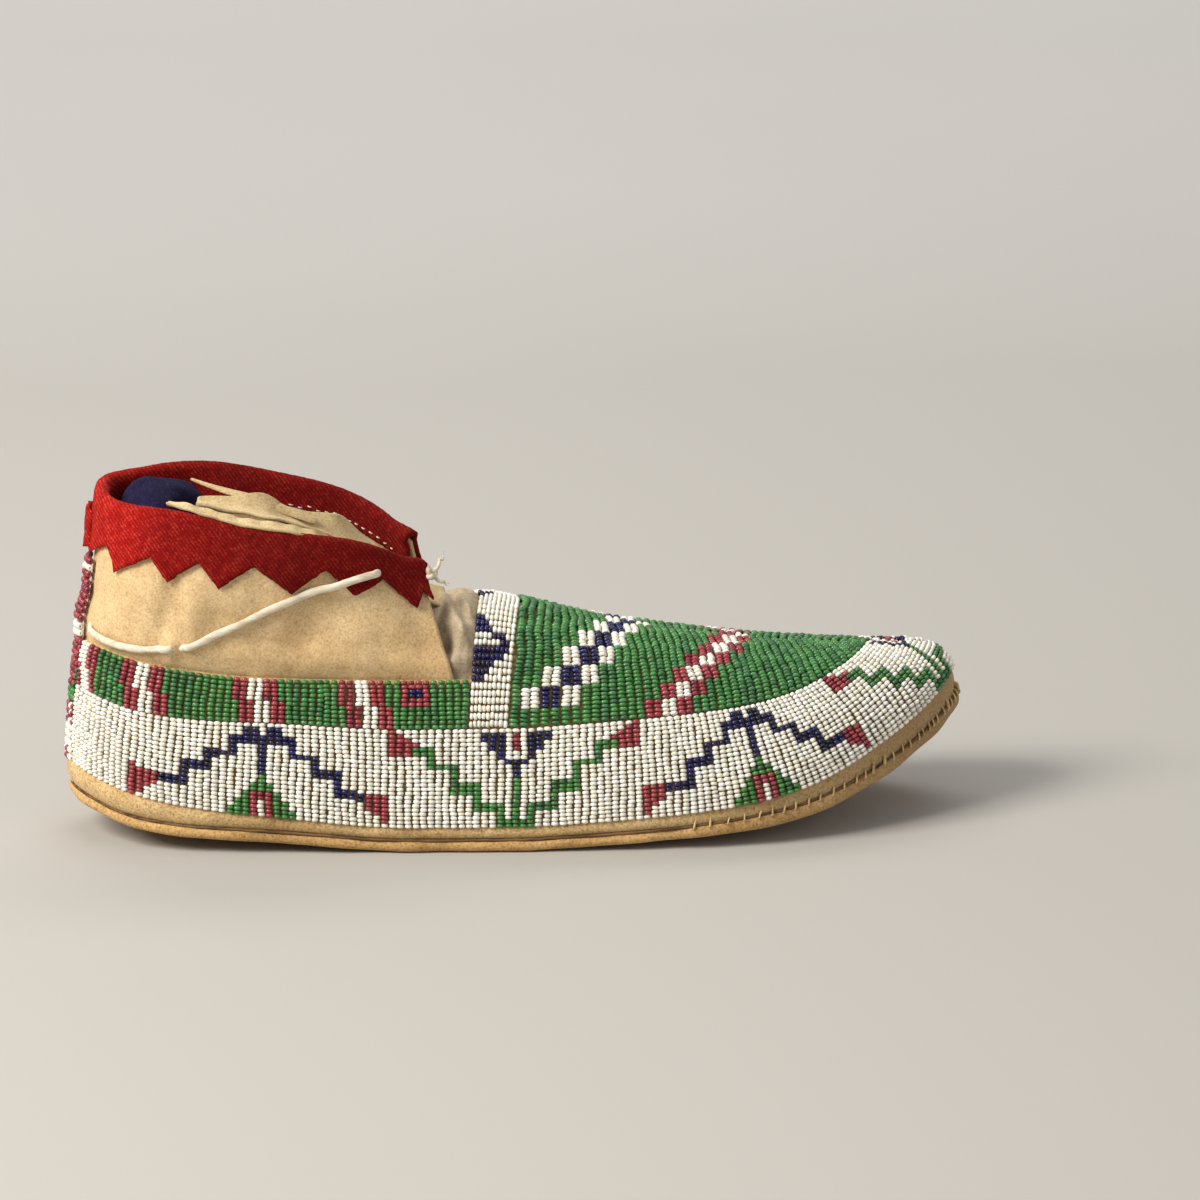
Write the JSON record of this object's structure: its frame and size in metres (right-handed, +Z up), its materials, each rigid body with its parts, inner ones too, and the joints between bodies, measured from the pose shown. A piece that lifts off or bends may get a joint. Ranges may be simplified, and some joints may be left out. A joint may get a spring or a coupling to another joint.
{
  "type": "moccasin",
  "caption": "Low hide moccasin for the right foot: turned-up rawhide sole, beaded sides and instep, soft ankle cuff with saw-toothed wool edging, tongue and thong drawstring.",
  "frame": {"origin": "on the sole's flat resting face, 111 mm ahead of the back of the sole on the shoe's long line", "axes": "+X from heel to toe, +Z up, -Y the outer (lateral) side of this right shoe, +Y the inner (medial) side"},
  "size_m": [0.2612, 0.0821, 0.1019],
  "materials": {
    "rawhide": "dry rawhide, dull",
    "hide": "smoked brain-tanned hide, suede nap",
    "beads_white": "opaque glass seed beads, satin",
    "beads_green": "opaque glass seed beads, satin",
    "beads_rose": "glass seed beads, satin",
    "wool_red": "fulled trade wool, fuzzy",
    "wool_navy": "fulled wool, fuzzy",
    "thong": "pale hide thong",
    "sinew": "dry sinew thread"
  },
  "bodies": {
    "shoe": {"outsole": "rawhide", "upper": "hide", "cuff_heel": "hide", "tongue_root": "hide", "heel_tab_lateral": "hide", "heel_tab_medial": "hide", "beads_low_lateral": "beads_white", "beads_low_medial": "beads_white", "beads_mid_lateral": "beads_white", "beads_mid_medial": "beads_white", "beads_quarter_lateral": "beads_green", "beads_quarter_medial": "beads_green", "beads_vamp": "beads_green", "beads_throat": "beads_white", "beads_heel": "beads_rose", "edging_heel": "wool_red", "thong_heel_medial": "thong", "thong_heel_lateral": "thong", "seam_sole_lateral": "sinew", "seam_sole_medial": "sinew"},
    "lateral_flap": {"cuff_lateral": "hide", "edging_lateral": "wool_red", "thong_lateral": "thong", "thong_knot": "thong"},
    "medial_flap": {"cuff_medial": "hide", "edging_medial": "wool_red", "thong_medial": "thong"},
    "tongue": {"tongue_flap": "hide"},
    "liner": {"wool_liner": "wool_navy"}
  },
  "joints": [
    {"name": "lateral_flap_open", "type": "hinge", "parent": "shoe", "child": "lateral_flap", "pos_m": [-0.03, -0.0295, 0.0492], "axis": [1, 0, 0], "range_deg": [0, 30]},
    {"name": "medial_flap_open", "type": "hinge", "parent": "shoe", "child": "medial_flap", "pos_m": [-0.03, 0.0265, 0.0492], "axis": [-1, 0, 0], "range_deg": [0, 30]},
    {"name": "tongue_lift", "type": "hinge", "parent": "shoe", "child": "tongue", "pos_m": [-0.0048, 0, 0.0662], "axis": [0, 1, 0], "range_deg": [0, 100]},
    {"name": "liner_pull", "type": "slide", "parent": "shoe", "child": "liner", "axis": [0, 0, 1], "range_m": [0, 0.08]}
  ]
}
